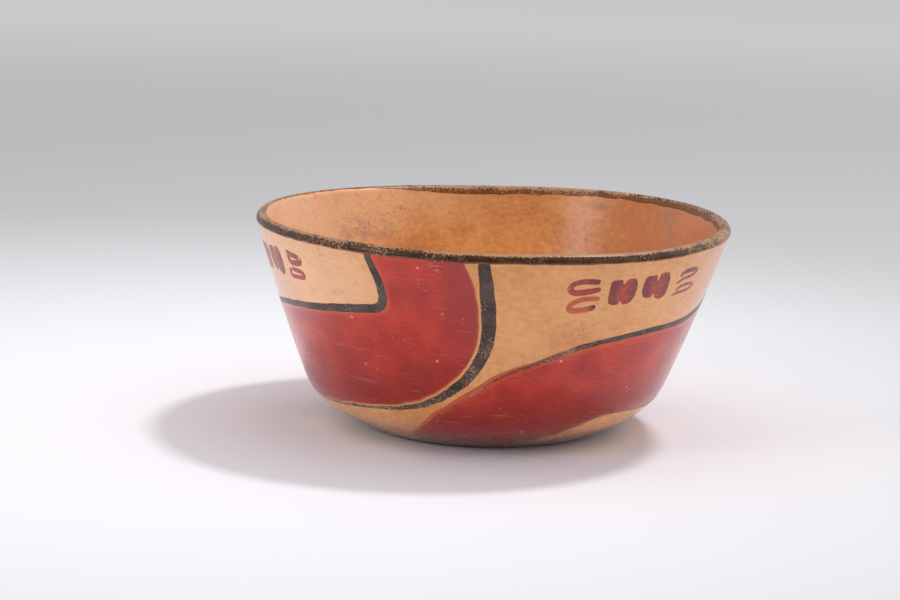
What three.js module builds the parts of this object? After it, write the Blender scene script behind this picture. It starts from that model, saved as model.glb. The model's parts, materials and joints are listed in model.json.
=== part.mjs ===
// Flat-footed bowl, raised by hand from a clay slab and coils and painted with coloured slips.
// Millimetres, +Z up, origin in the middle of the foot. Turn 0 faces -Y and grows towards +X.
import * as THREE from 'three';
import { mergeVertices } from 'three/addons/utils/BufferGeometryUtils.js';

// Body: outer sizes over the paint of the lip. The foot and heel sizes are those of the two corners
// that the flat foot, the sloping underside and the wall would make if they weren't rounded.
const mouthDiameter = 230;
const bowlHeight = 101.4;
const footDiameter = 114.8;
const heelDiameter = 168.4;
const heelHeight = 15.3;
const footRound = 20;
const heelRound = 32;
const wallBelly = 0.64;
const wallThickness = 5.8;
const floorThickness = 6.8;

// How the clay is joined: lengths are measured along the outside.
const slabReach = 66;
const rimCoilReach = 22;
const coilsBelowRim = 3;
const lapLength = 6;
const seam = 0.3;

// Unevenness of a bowl shaped without a wheel: the mouth leans, is slightly oval, and dips.
const mouthLean = 2;
const mouthOval = 1.7;
const mouthOvalTurn = THREE.MathUtils.degToRad(19.8);
const lipTilt = 1.3;
const lipTiltTurn = THREE.MathUtils.degToRad(172.3);
const lipDip = 1;
const lipDipTurn = THREE.MathUtils.degToRad(112.9);

// Slip coats: each lies on the clay as its own thin skin.
const slipThickness = 0.3;
const slipClearance = 0.3;
const brushClearance = 0.3;
const rimBandOutside = 4;
const rimBandInside = 5;
const footMargin = 11.5;

// One figure of the painted pattern, repeated round the bowl. The crest is its upper edge and the keel
// its lower one, both from the foot to the rim: turn in shares of a repeat, height in shares of the
// painted field. Widths are spaced evenly along an edge.
const repeatCount = 3;
const crest = [
  [-0.235, 0], [-0.195, 0.15], [-0.14, 0.25], [-0.065, 0.35], [0.025, 0.475],
  [0.125, 0.565], [0.265, 0.645], [0.42, 0.685], [0.56, 0.715], [0.69, 0.747],
  [0.763, 0.77], [0.778, 0.795], [0.776, 0.85], [0.768, 0.92], [0.758, 1],
];
const keel = [
  [0.15, 0], [0.165, 0.03], [0.19, 0.07], [0.22, 0.115], [0.255, 0.17],
  [0.31, 0.22], [0.39, 0.232], [0.49, 0.225], [0.585, 0.232], [0.7, 0.25],
  [0.82, 0.28], [0.925, 0.36], [0.99, 0.48], [1.02, 0.68], [1.008, 1],
];
const stepLineWidths = [0, 0, 0.8, 2.6, 3, 3.9, 4.5, 4.2];
const stepLineStart = 0.3;
const curlLineWidths = [1.4, 1.4, 1.4, 1.5, 2.2, 3.6, 6, 6];
const wedgeWidth = 5;
const wedgeStart = 0.93;

// Brush marks between the curl and the step: sizes along the wall, places in the shares used above.
const hookArm = 11;
const hookRound = 3.05;
const hookStroke = 2.4;
const blockHeight = 13.5;
const firstBlockWidth = 15;
const secondBlockWidth = 17;
const blockNotch = 2;
const blockCorner = 1.2;
const blockCornerSharpness = 8;
const loopWidth = 12.5;
const loopHeight = 3.4;
const loopStroke = 1.4;
const loopStartAngle = THREE.MathUtils.degToRad(240);
const loopTailAcross = 1.8;
const loopTailDown = 3.6;
const markGroupShifts = [0, 0.04, 0.08];

// Facets
const facetsRound = 60;
const bendPerFacet = THREE.MathUtils.degToRad(9);
const lipFacets = 6;
const bandFacets = 7;
const columnsPerPoint = 3;
const panelRows = 6;
const strokeColumns = 14;
const blockColumns = 8;
const blockRows = 2;

const clay = new THREE.MeshStandardMaterial({ color: 0xcf9a66, roughness: 0.5, metalness: 0 });
const redSlip = new THREE.MeshStandardMaterial({ color: 0xa8453b, roughness: 0.38, metalness: 0 });
const darkSlip = new THREE.MeshStandardMaterial({ color: 0x3f302c, roughness: 0.42, metalness: 0 });
const markSlip = new THREE.MeshStandardMaterial({ color: 0x8a2f2c, roughness: 0.5, metalness: 0 });

const coat = slipClearance + slipThickness;
const clayRadius = mouthDiameter / 2 - coat;
const clayHeight = bowlHeight - coat;
const lipRadius = wallThickness / 2;
const quarterTurn = Math.PI / 2;
const repeatAngle = (2 * Math.PI) / repeatCount;

// Outline of the clay from the middle of the foot, up the outside, over the lip and into the mouth.
function roundedCorner(path, before, corner, after, radius) {
  const back = before.clone().sub(corner).normalize();
  const ahead = after.clone().sub(corner).normalize();
  const half = Math.acos(back.dot(ahead)) / 2;
  const centre = back.clone().add(ahead).normalize().multiplyScalar(radius / Math.sin(half)).add(corner);
  const start = back.multiplyScalar(radius / Math.tan(half)).add(corner).sub(centre);
  const end = ahead.multiplyScalar(radius / Math.tan(half)).add(corner).sub(centre);
  path.lineTo(centre.x + start.x, centre.y + start.y);
  path.absarc(centre.x, centre.y, radius, start.angle() - 2 * Math.PI, end.angle() - 2 * Math.PI, false);
}

const footCorner = new THREE.Vector2(footDiameter / 2, 0);
const heelCorner = new THREE.Vector2(heelDiameter / 2, heelHeight);
const lipCentre = new THREE.Vector2(clayRadius - lipRadius, clayHeight - lipRadius);
const heelToLip = lipCentre.clone().sub(heelCorner);
const wallAngle = heelToLip.angle() - Math.asin(lipRadius / heelToLip.length());
const wallOut = new THREE.Vector2(Math.sin(wallAngle), -Math.cos(wallAngle));
const wallTop = lipCentre.clone().addScaledVector(wallOut, lipRadius);

const outline = new THREE.Path();
outline.moveTo(0, 0);
roundedCorner(outline, new THREE.Vector2(), footCorner, heelCorner, footRound);
roundedCorner(outline, footCorner, heelCorner, wallTop, heelRound);
const footEnd = outline.curves[0].getLength();
const bellyPull = heelCorner.clone().add(wallTop).divideScalar(2).addScaledVector(wallOut, 2 * wallBelly);
outline.quadraticCurveTo(bellyPull.x, bellyPull.y, wallTop.x, wallTop.y);
const wallEnd = outline.getLength();
outline.absarc(lipCentre.x, lipCentre.y, lipRadius, wallAngle - quarterTurn, wallAngle + quarterTurn, false);
const lipMiddle = wallEnd + quarterTurn * lipRadius;
const mouthEdge = lipCentre.clone().addScaledVector(wallOut, -lipRadius);
outline.lineTo(
  mouthEdge.x - Math.cos(wallAngle) * rimCoilReach,
  mouthEdge.y - Math.sin(wallAngle) * rimCoilReach,
);
const curveEnds = outline.getCurveLengths();

// Point and outward direction of the skin at a slope, the distance from the middle of the foot.
function skin(slope) {
  const index = curveEnds.findIndex((end) => slope <= end);
  const start = index > 0 ? curveEnds[index - 1] : 0;
  const share = (slope - start) / (curveEnds[index] - start);
  const tangent = outline.curves[index].getTangentAt(share);
  return { point: outline.curves[index].getPointAt(share), out: new THREE.Vector2(tangent.y, -tangent.x) };
}

function outside(slope, lift) {
  const { point, out } = skin(slope);
  return point.addScaledVector(out, lift);
}

function inside(slope) {
  const thinning = THREE.MathUtils.smoothstep(slope, footEnd, slabReach);
  return outside(slope, -THREE.MathUtils.lerp(floorThickness, wallThickness, thinning));
}

// Evenly spaced slopes from one to another.
function slopes(from, to, count) {
  return Array.from({ length: count + 1 }, (_, i) => THREE.MathUtils.lerp(from, to, i / count));
}

// Facets for a stretch of wall: more where it bends.
function facetsBetween(from, to) {
  const bend = skin(to).out.angleTo(skin(from).out);
  return Math.max(2, Math.ceil(bend / bendPerFacet));
}

function weld(geometry) {
  geometry.deleteAttribute('normal');
  geometry.deleteAttribute('uv');
  return mergeVertices(geometry);
}

// A section turned once round the bowl's axis: it starts and ends on the axis, or closes on itself.
function turned(section) {
  return weld(new THREE.LatheGeometry(section, facetsRound).rotateX(quarterTurn));
}

function ring(section) {
  return turned([...section, section[0]]);
}

// The base is a slab whose edge is turned up; a coil climbs over the slanted edge of what is below it.
function slab() {
  const count = facetsBetween(footEnd, slabReach);
  const outer = slopes(footEnd, slabReach, count).map((slope) => outside(slope, 0));
  const inner = slopes(footEnd, slabReach + lapLength, count).map(inside);
  return turned([outside(0, 0), ...outer, ...inner.reverse(), inside(0)]);
}

function coil(joint, to) {
  const from = joint + seam;
  const count = facetsBetween(from, to);
  const outer = slopes(from, to, count).map((slope) => outside(slope, 0));
  const inner = slopes(from + lapLength, to + lapLength, count).map(inside);
  return ring([...outer, ...inner.reverse()]);
}

function rimCoil(joint) {
  const from = joint + seam;
  const count = facetsBetween(from, wallEnd);
  const outer = slopes(from, wallEnd, count).map((slope) => outside(slope, 0));
  const lip = slopes(wallEnd, wallEnd + Math.PI * lipRadius, lipFacets).map((slope) => outside(slope, 0));
  const inner = slopes(from + lapLength, wallEnd, count).map(inside);
  return ring([...outer, ...lip.slice(1), ...inner.reverse().slice(1)]);
}

function rimBand() {
  const reach = slopes(lipMiddle - rimBandOutside, lipMiddle + rimBandInside, bandFacets);
  const outer = reach.map((slope) => outside(slope, coat));
  const inner = reach.map((slope) => outside(slope, slipClearance));
  return ring([...outer, ...inner.reverse()]);
}

// A patch of slip is a thin block laid on the wall. The spot function gives the turn and slope of a
// place that lies so far along and across the patch, both from 0 to 1.
function patch(columns, rows, spot) {
  const block = weld(new THREE.BoxGeometry(1, 1, 1, columns, rows, 1));
  const places = block.attributes.position;
  for (let i = 0; i < places.count; i += 1) {
    const { x: turn, y: slope } = spot(places.getX(i) + 0.5, places.getY(i) + 0.5);
    const lift = slipClearance + slipThickness * (places.getZ(i) + 0.5);
    const place = outside(slope, lift);
    places.setXYZ(i, place.x * Math.sin(turn), -place.x * Math.cos(turn), place.y);
  }
  return block;
}

// The painted field runs from the foot to the rim band.
const fieldStart = footEnd + footMargin;
const fieldEnd = lipMiddle - rimBandOutside - brushClearance;

function inField(turnShare, heightShare) {
  return new THREE.Vector2(turnShare * repeatAngle, THREE.MathUtils.lerp(fieldStart, fieldEnd, heightShare));
}

const crestEdge = new THREE.SplineCurve(crest.map(([turn, height]) => inField(turn, height)));
const keelEdge = new THREE.SplineCurve(keel.map(([turn, height]) => inField(turn, height)));
const crestInward = -1;
const keelInward = 1;
const figureColumns = columnsPerPoint * (crest.length - 1);

function widthAt(widths, share) {
  const place = share * (widths.length - 1);
  const index = Math.min(Math.floor(place), widths.length - 2);
  return THREE.MathUtils.lerp(widths[index], widths[index + 1], place - index);
}

// A point of an edge moved into the figure by a width that is measured on the wall, square to the edge.
function insetFrom(edge, inward, share, width) {
  const point = edge.getPoint(share);
  const radius = outside(point.y, 0).x;
  const along = edge.getTangent(share);
  along.x *= radius;
  along.normalize();
  const slope = point.y + inward * along.x * width;
  return new THREE.Vector2(
    point.x - (inward * along.y * width) / radius,
    THREE.MathUtils.clamp(slope, fieldStart, fieldEnd),
  );
}

function between(low, high, share) {
  return low.clone().lerp(high, share);
}

function panelSpot(along, across) {
  const opening = Math.max(0, (along - wedgeStart) / (1 - wedgeStart));
  const curlSide = widthAt(curlLineWidths, along) + brushClearance + wedgeWidth * opening ** 2;
  const stepSide = widthAt(stepLineWidths, along) + brushClearance;
  const low = insetFrom(keelEdge, keelInward, along, curlSide);
  return between(low, insetFrom(crestEdge, crestInward, along, stepSide), across);
}

function stepLineSpot(along, across) {
  const share = THREE.MathUtils.lerp(stepLineStart, 1, along);
  const low = insetFrom(crestEdge, crestInward, share, widthAt(stepLineWidths, share));
  return between(low, insetFrom(crestEdge, crestInward, share, 0), across);
}

function curlLineSpot(along, across) {
  const low = insetFrom(keelEdge, keelInward, along, 0);
  return between(low, insetFrom(keelEdge, keelInward, along, widthAt(curlLineWidths, along)), across);
}

// Marks are drawn in millimetres about their own middle and then laid on the wall.
function markSpot(turnShare, heightShare, draw) {
  const middle = inField(turnShare, heightShare);
  return (along, across) => {
    const drawn = draw(along, across);
    const slope = middle.y + drawn.y;
    return new THREE.Vector2(middle.x + drawn.x / outside(slope, 0).x, slope);
  };
}

function stroke(path, width) {
  return (along, across) => {
    const tangent = path.getTangentAt(along);
    const side = new THREE.Vector2(-tangent.y, tangent.x);
    return path.getPointAt(along).addScaledVector(side, (across - 0.5) * width);
  };
}

function hook() {
  const path = new THREE.Path();
  path.moveTo(hookArm, hookRound);
  path.lineTo(0, hookRound);
  path.absarc(0, 0, hookRound, quarterTurn, 3 * quarterTurn, false);
  path.lineTo(hookArm, -hookRound);
  return stroke(path, hookStroke);
}

// The loop starts under its left end, goes round once and runs out in a tail.
function loop() {
  const path = new THREE.Path();
  path.absellipse(0, 0, loopWidth / 2, loopHeight / 2, loopStartAngle, 3 * Math.PI, false);
  path.lineTo(-loopWidth / 2 - loopTailAcross, -loopTailDown);
  return stroke(path, loopStroke);
}

function notchedBlock(width) {
  const notchHalf = width / blockColumns;
  return (along, across) => {
    const x = (along - 0.5) * width;
    const notch = blockNotch * Math.max(0, 1 - Math.abs(x) / notchHalf);
    const corner = blockCorner * Math.abs((2 * x) / width) ** blockCornerSharpness;
    return new THREE.Vector2(x, (2 * across - 1) * (blockHeight / 2 - notch - corner));
  };
}

// Moves every point as the hands left it: nothing at the flat foot, most at the lip.
function handShape(geometry) {
  const places = geometry.attributes.position;
  for (let i = 0; i < places.count; i += 1) {
    const x = places.getX(i);
    const y = places.getY(i);
    const z = places.getZ(i);
    const radius = Math.hypot(x, y);
    const turn = Math.atan2(x, -y);
    const rise = z / bowlHeight;
    const spread = mouthLean * Math.sin(turn) + mouthOval * Math.cos(2 * (turn - mouthOvalTurn));
    const push = spread * rise * Math.min((2 * radius) / mouthDiameter, 1);
    const dip = lipTilt * Math.cos(turn - lipTiltTurn) + lipDip * Math.cos(2 * (turn - lipDipTurn));
    const lift = dip * rise ** 3;
    const stretch = radius > 0 ? 1 + push / radius : 1;
    places.setXYZ(i, x * stretch, y * stretch, z + lift);
  }
  geometry.computeVertexNormals();
  return geometry;
}

const group = new THREE.Group();

function add(name, geometry, material) {
  const mesh = new THREE.Mesh(handShape(geometry), material);
  mesh.name = name;
  group.add(mesh);
}

const rimCoilStart = wallEnd - rimCoilReach;
const joints = slopes(slabReach, rimCoilStart, coilsBelowRim);
const coilNames = ['heel_coil', 'lower_wall_coil', 'upper_wall_coil'];
add('base_slab', slab(), clay);
coilNames.forEach((name, i) => add(name, coil(joints[i], joints[i + 1]), clay));
add('rim_coil', rimCoil(rimCoilStart), clay);
add('rim_band', rimBand(), darkSlip);

const strokeMarks = [
  { name: 'upper_hook', draw: hook(), turn: 0.17, height: 0.895 },
  { name: 'lower_hook', draw: hook(), turn: 0.177, height: 0.811 },
  { name: 'upper_loop', draw: loop(), turn: 0.454, height: 0.906 },
  { name: 'lower_loop', draw: loop(), turn: 0.456, height: 0.838 },
];
const blockMarks = [
  { name: 'first_block', draw: notchedBlock(firstBlockWidth), turn: 0.275, height: 0.864 },
  { name: 'second_block', draw: notchedBlock(secondBlockWidth), turn: 0.357, height: 0.872 },
];

for (let i = 0; i < repeatCount; i += 1) {
  const number = i + 1;
  const place = (name, geometry, shift, material) => {
    add(`${name}_${number}`, geometry.rotateZ((i + shift) * repeatAngle), material);
  };
  place('red_panel', patch(figureColumns, panelRows, panelSpot), 0, redSlip);
  place('step_line', patch(Math.round(figureColumns * (1 - stepLineStart)), 1, stepLineSpot), 0, darkSlip);
  place('curl_line', patch(figureColumns, 1, curlLineSpot), 0, darkSlip);
  for (const { name, draw, turn, height } of strokeMarks) {
    place(name, patch(strokeColumns, 1, markSpot(turn, height, draw)), markGroupShifts[i], markSlip);
  }
  for (const { name, draw, turn, height } of blockMarks) {
    place(name, patch(blockColumns, blockRows, markSpot(turn, height, draw)), markGroupShifts[i], markSlip);
  }
}

export default group;
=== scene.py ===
"""Painted pottery bowl: the fired clay, its coats of slip, the studio floor, the lamps and the camera.

Every surface is worked out with numpy from the bowl's outline, in metres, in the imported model's frame.
A turn is the angle round the bowl from -Y towards +X. A slope is the distance along the bowl's section
from the middle of the foot.
"""
import functools
import json
import logging
import math
from collections.abc import Callable
from dataclasses import dataclass
from enum import Enum

import bpy
import numpy as np
from mathutils import Matrix, Vector

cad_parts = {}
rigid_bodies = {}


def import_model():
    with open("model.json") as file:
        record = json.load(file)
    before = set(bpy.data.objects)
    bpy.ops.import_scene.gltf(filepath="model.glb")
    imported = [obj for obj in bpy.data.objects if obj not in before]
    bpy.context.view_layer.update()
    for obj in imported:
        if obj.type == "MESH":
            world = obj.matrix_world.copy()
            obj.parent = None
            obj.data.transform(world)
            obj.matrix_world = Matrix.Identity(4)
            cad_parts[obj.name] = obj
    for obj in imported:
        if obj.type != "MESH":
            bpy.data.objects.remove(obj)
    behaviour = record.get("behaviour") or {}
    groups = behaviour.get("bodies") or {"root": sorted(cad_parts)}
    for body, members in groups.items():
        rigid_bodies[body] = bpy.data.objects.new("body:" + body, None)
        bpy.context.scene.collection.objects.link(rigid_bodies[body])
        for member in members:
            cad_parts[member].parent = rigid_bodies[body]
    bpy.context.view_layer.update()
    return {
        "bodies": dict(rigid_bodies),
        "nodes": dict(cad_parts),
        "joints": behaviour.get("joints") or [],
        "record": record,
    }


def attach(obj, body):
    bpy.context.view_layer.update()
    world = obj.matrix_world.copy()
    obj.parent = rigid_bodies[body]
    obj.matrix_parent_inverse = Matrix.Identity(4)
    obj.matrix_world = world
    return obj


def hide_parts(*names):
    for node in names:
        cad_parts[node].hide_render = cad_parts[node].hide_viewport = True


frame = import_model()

log = logging.getLogger("bowl")
Array = np.ndarray
Places = tuple[tuple[float, float], ...]
Colour = tuple[float, float, float, float]
Link = bpy.types.NodeSocket
Place = tuple[float, float, float]
MM = 0.001
REPEAT = math.radians(120)


def linear(red: float, green: float, blue: float) -> Colour:
    """Turn red, green and blue as a screen shows them, from 0 to 255, into a shader's linear colour."""
    shown = np.array([red, green, blue]) / 255
    return (*np.where(shown <= 0.04045, shown / 12.92, ((shown + 0.055) / 1.055) ** 2.4).tolist(), 1.0)


def rise(value: Array, low: float, high: float) -> Array:
    """Rise smoothly from 0 at low to 1 at high: 3t^2 - 2t^3 of the share t of the way."""
    share = np.clip((value - low) / (high - low), 0, 1)
    return share * share * (3 - 2 * share)


def unit(vectors: Array) -> Array:
    """Make vectors one long: each is divided by its length."""
    return vectors / np.linalg.norm(vectors, axis=-1, keepdims=True)


def follow(points: Array, shares: Array) -> Array:
    """Carry a smooth curve through points, each of which takes an equal share of the way.

    Each stretch is a cubic whose direction at a point is half the step between that point's neighbours.

    Args:
        points: The points, one in a row.
        shares: How far along each result lies, from 0 to 1.

    Returns:
        The places on the curve.
    """
    way = shares * (len(points) - 1)
    index = np.clip(way.astype(int), 0, len(points) - 2)
    part = (way - index)[:, None]
    padded = np.vstack([2 * points[0] - points[1], points, 2 * points[-1] - points[-2]])
    before, start, end, after = (padded[index + shift] for shift in range(4))
    bend = 2 * before - 5 * start + 4 * end - after
    twist = 3 * start - before - 3 * end + after
    return start + 0.5 * part * ((end - before) + part * (bend + part * twist))


def listed(places: Places, shares: Array) -> Array:
    """Read a width or strength that is listed as (share of the way, value) and runs straight between."""
    table = np.array(places)
    return np.interp(shares, table[:, 0], table[:, 1])


def settled(values: Array, reach: int = 4) -> Array:
    """Smooth a row of values with a bell-shaped running mean that keeps both ends.

    Args:
        values: The values, one in a row, with any number of columns.
        reach: How many neighbours on each side count.

    Returns:
        The smoothed values.
    """
    bell = np.hanning(2 * reach + 3)[1:-1]
    table = values.reshape(len(values), -1)
    padded = np.pad(table, ((reach, reach), (0, 0)), mode="reflect", reflect_type="odd")
    columns = [np.convolve(column, bell / bell.sum(), mode="valid") for column in padded.T]
    return np.stack(columns, 1).reshape(values.shape)


@dataclass(frozen=True)
class BowlForm:
    """The bowl's outline over its ground slip and the unevenness that the hands left, in metres."""

    mouth_radius: float = 114.6 * MM
    height: float = 101.2 * MM
    foot_corner: tuple[float, float] = (57.4 * MM, 0.0)
    heel_corner: tuple[float, float] = (84.2 * MM, 15.3 * MM)
    foot_round: float = 20 * MM
    heel_round: float = 32 * MM
    wall_belly: float = 0.64 * MM
    wall: float = 5.8 * MM
    floor: float = 6.8 * MM
    slab_reach: float = 66 * MM
    mouth_lean: float = 2.0 * MM
    mouth_oval: float = 1.7 * MM
    mouth_oval_turn: float = math.radians(19.8)
    lip_tilt: float = 1.3 * MM
    lip_tilt_turn: float = math.radians(172.3)
    lip_dip: float = 1.0 * MM
    lip_dip_turn: float = math.radians(112.9)
    lip_swells: tuple[Place, ...] = ((14, 16, 0.9), (-72, 26, -0.9), (182, 26, -0.65))
    ripple: float = 0.09 * MM
    ripple_waves: int = 14
    sample: float = 0.25 * MM
    corner_samples: int = 60


class Outline:
    """Closed section of the clay: up the outside, over the lip and down the inside to the floor's middle."""

    def __init__(self, form: BowlForm) -> None:
        """Sample the section.

        Args:
            form: The bowl's sizes.
        """
        self.form = form
        axis, foot, heel = np.zeros(2), np.array(form.foot_corner), np.array(form.heel_corner)
        lip_radius = form.wall / 2
        lip_centre = np.array([form.mouth_radius - lip_radius, form.height - lip_radius])
        reach = lip_centre - heel
        angle = math.atan2(reach[1], reach[0]) - math.asin(lip_radius / math.hypot(*reach))
        wall_out = np.array([math.sin(angle), -math.cos(angle)])
        wall_top = lip_centre + wall_out * lip_radius
        foot_arc = self._corner(axis, foot, heel, form.foot_round)
        heel_arc = self._corner(foot, heel, wall_top, form.heel_round)
        wall = self._line(heel_arc[-1], wall_top)
        share = np.linspace(0, 1, len(wall))[:, None]
        wall = wall + wall_out * 4 * form.wall_belly * share * (1 - share)
        outer = np.vstack([
            self._line(axis, foot_arc[0]), foot_arc[1:], self._line(foot_arc[-1], heel_arc[0])[1:],
            heel_arc[1:], wall[1:],
        ])
        outer_slope = self._lengths(outer)
        self.foot_end = float(foot_arc[0][0])
        self.wall_end = float(outer_slope[-1])
        self.lip_middle = self.wall_end + math.pi * lip_radius / 2
        self.lip_end = self.wall_end + math.pi * lip_radius
        lip_turn = np.linspace(angle - math.pi / 2, angle + math.pi / 2, form.corner_samples)
        lip = lip_centre + lip_radius * np.stack([np.cos(lip_turn), np.sin(lip_turn)], 1)
        thinning = rise(outer_slope, self.foot_end, form.slab_reach)
        depth = form.floor + (form.wall - form.floor) * thinning
        inner = (outer - self._outward(outer) * depth[:, None])[::-1]
        inner[-1, 0] = 0
        self.points = np.vstack([outer, lip[1:], inner[1:]])
        self.out = self._outward(self.points)
        self.slope = self._lengths(self.points)
        self.end = float(self.slope[-1])
        climb = self.slope <= self.lip_middle
        self._climb = self.points[climb, 1], self.slope[climb]
        random = np.random.default_rng(7)
        count = form.ripple_waves
        self._waves = np.stack([
            random.integers(2, 15, count), random.uniform(80, 420, count),
            random.uniform(0, 2 * math.pi, count), random.uniform(0.4, 1.0, count) / math.sqrt(count),
        ], 1)

    def _line(self, start: Array, end: Array) -> Array:
        """Evenly spaced points along a straight stretch, with both of its ends."""
        share = np.linspace(0, 1, math.ceil(math.hypot(*(end - start)) / self.form.sample))[:, None]
        return start * (1 - share) + end * share

    def _corner(self, before: Array, corner: Array, after: Array, radius: float) -> Array:
        """Round a corner with an arc that touches both of its sides.

        Args:
            before: A point of the side that comes in.
            corner: The sharp corner.
            after: A point of the side that leaves.
            radius: Radius of the arc.

        Returns:
            The points of the arc, in order.
        """
        sides = unit(np.stack([before, after]) - corner)
        half = math.acos(float(sides[0] @ sides[1])) / 2
        centre = corner + unit(sides.sum(0)) * radius / math.sin(half)
        touch = corner + sides * radius / math.tan(half) - centre
        turn = np.linspace(*np.arctan2(touch[:, 1], touch[:, 0]), self.form.corner_samples)
        return centre + radius * np.stack([np.cos(turn), np.sin(turn)], 1)

    @staticmethod
    def _lengths(points: Array) -> Array:
        """Distance along a row of points, from its first one."""
        return np.concatenate([[0.0], np.cumsum(np.hypot(*np.diff(points, axis=0).T))])

    @staticmethod
    def _outward(points: Array) -> Array:
        """Unit directions square to a row of points, to the right of the way along it."""
        along = unit(np.gradient(points, axis=0))
        return np.stack([along[:, 1], -along[:, 0]], 1)

    def radius(self, slope: Array) -> Array:
        """Distance from the axis at a slope, before the hand-made unevenness."""
        return np.interp(slope, self.slope, self.points[:, 0])

    def spots(self, places: Places, turn: float = 0.0) -> Array:
        """Turn and slope of outside places told in degrees and mm of height, carried on by the turn."""
        told = np.array(places)
        return np.stack([np.radians(told[:, 0]) + turn, np.interp(told[:, 1] * MM, *self._climb)], 1)

    def shift(self, path: Array, width: Array) -> Array:
        """Move a path to its left by a width that is measured on the wall, square to the path.

        Args:
            path: Turn and slope of the path's points.
            width: How far each is moved.

        Returns:
            Turn and slope of the moved points.
        """
        radius = self.radius(path[:, 1])
        along = unit(np.gradient(path, axis=0) * np.stack([radius, np.ones_like(radius)], 1))
        left = np.stack([-along[:, 1] / radius, along[:, 0]], 1)
        return path + left * width[:, None]

    def place(self, turn: Array, slope: Array, lift: Array | float = 0.0) -> Array:
        """Give points of the skin: the section's point is lifted, turned round the axis and made uneven.

        The mouth is pushed out by lean * sin(turn) + oval * cos(2 * turn), more towards the lip, and
        raised by tilt * cos(turn) + dip * cos(2 * turn) times the cube of the height's share. Each swell
        of the lip adds a bell of the turn times the eighth power of that share; it is told by its turn
        and spread in degrees and its size in millimetres. The skin also ripples by a sum of waves that
        run round and up the wall.

        Args:
            turn: Angle round the bowl.
            slope: Distance along the section.
            lift: Distance off the skin, along its outward direction.

        Returns:
            An array with x, y and z in its last axis.
        """
        form = self.form
        ripple = sum(wave[3] * np.sin(wave[0] * turn + wave[1] * slope + wave[2]) for wave in self._waves)
        fade = rise(slope, self.foot_end, form.slab_reach) * rise(self.end - slope, 0, form.slab_reach)
        raised = lift + form.ripple * ripple * fade
        radius = self.radius(slope) + np.interp(slope, self.slope, self.out[:, 0]) * raised
        height = np.interp(slope, self.slope, self.points[:, 1])
        height = height + np.interp(slope, self.slope, self.out[:, 1]) * raised
        share = height / form.height
        spread = form.mouth_lean * np.sin(turn) + form.mouth_oval * np.cos(2 * (turn - form.mouth_oval_turn))
        radius = radius + spread * share * np.clip(radius / form.mouth_radius, 0, 1)
        dip = form.lip_tilt * np.cos(turn - form.lip_tilt_turn)
        dip = dip + form.lip_dip * np.cos(2 * (turn - form.lip_dip_turn))
        height = height + dip * share ** 3
        for middle, spread, size in form.lip_swells:
            away = np.angle(np.exp(1j * (turn - math.radians(middle)))) / math.radians(spread)
            height = height + size * MM * np.exp(-away * away) * share ** 8
        return np.stack([radius * np.sin(turn), -radius * np.cos(turn), height], -1)


def band_faces(rows: int, columns: int, rows_close: bool) -> tuple[Array, Array]:
    """Join a grid whose rows close on themselves into four-sided faces.

    Args:
        rows: Number of rows of vertices.
        columns: Number of vertices in a row.
        rows_close: Whether the last row is also joined to the first.

    Returns:
        The vertex numbers of each face, and each corner's row and column as counted without going back
        to 0, so that a map doesn't fold back at the seam.
    """
    count = rows if rows_close else rows - 1
    row, column = (grid.ravel() for grid in np.meshgrid(np.arange(count), np.arange(columns), indexing="ij"))
    corner_rows = np.stack([row, row, row + 1, row + 1], 1)
    corner_columns = np.stack([column, column + 1, column + 1, column], 1)
    faces = (corner_rows % rows) * columns + corner_columns % columns
    return faces, np.stack([corner_rows, corner_columns], -1)


def placed(name: str, data: bpy.types.ID) -> bpy.types.Object:
    """Put an object into the scene.

    Args:
        name: Its name.
        data: Its mesh, lamp or camera.

    Returns:
        The object.
    """
    thing = bpy.data.objects.new(name, data)
    bpy.context.scene.collection.objects.link(thing)
    return thing


@dataclass
class Skin:
    """Closed mesh as arrays: vertices, faces, a map place for every face corner and numbers by vertex.

    A face has four vertex numbers, the last of them -1 on a triangle.
    """

    points: Array
    faces: Array
    uv: Array
    values: dict[str, Array]

    def _volume(self) -> float:
        """Volume inside the faces: a sixth of the sum of the triple products of their triangles."""
        first, second, third = (self.points[self.faces[:, corner]] for corner in range(3))
        fourth = self.points[np.where(self.faces[:, 3] < 0, self.faces[:, 0], self.faces[:, 3])]
        halves = np.cross(second, third) + np.cross(third, fourth)
        return float((first * halves).sum()) / 6

    def make(self, name: str, material: bpy.types.Material, slot: str, nodes: tuple[str, ...]) -> None:
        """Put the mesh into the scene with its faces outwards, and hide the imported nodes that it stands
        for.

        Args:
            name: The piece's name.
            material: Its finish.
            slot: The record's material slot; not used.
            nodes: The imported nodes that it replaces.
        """
        if self._volume() < 0:
            self.faces = np.hstack([self.faces[:, 2::-1], self.faces[:, 3:]])
            self.uv = np.concatenate([self.uv[:, 2::-1], self.uv[:, 3:]], 1)
        used = self.faces >= 0
        sides = used.sum(1)
        mesh = bpy.data.meshes.new(name)
        mesh.vertices.add(len(self.points))
        mesh.vertices.foreach_set("co", self.points.astype(np.float32).ravel())
        mesh.loops.add(int(sides.sum()))
        mesh.loops.foreach_set("vertex_index", self.faces[used].astype(np.int32))
        mesh.polygons.add(len(self.faces))
        starts = np.concatenate([[0], np.cumsum(sides)[:-1]])
        mesh.polygons.foreach_set("loop_start", starts.astype(np.int32))
        mesh.polygons.foreach_set("use_smooth", np.ones(len(self.faces), bool))
        mesh.update(calc_edges=True)
        layer = mesh.uv_layers.new(name="OFBake")
        layer.uv.foreach_set("vector", self.uv[used].astype(np.float32).ravel())
        for key, numbers in self.values.items():
            attribute = mesh.attributes.new(key, "FLOAT", "POINT")
            attribute.data.foreach_set("value", numbers.astype(np.float32).ravel())
        mesh.materials.append(material)
        piece = placed(name, mesh)
        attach(piece, "root")
        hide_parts(*nodes)
        log.info("%s: %d faces, stands for %s", name, len(self.faces), ", ".join(nodes))


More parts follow.
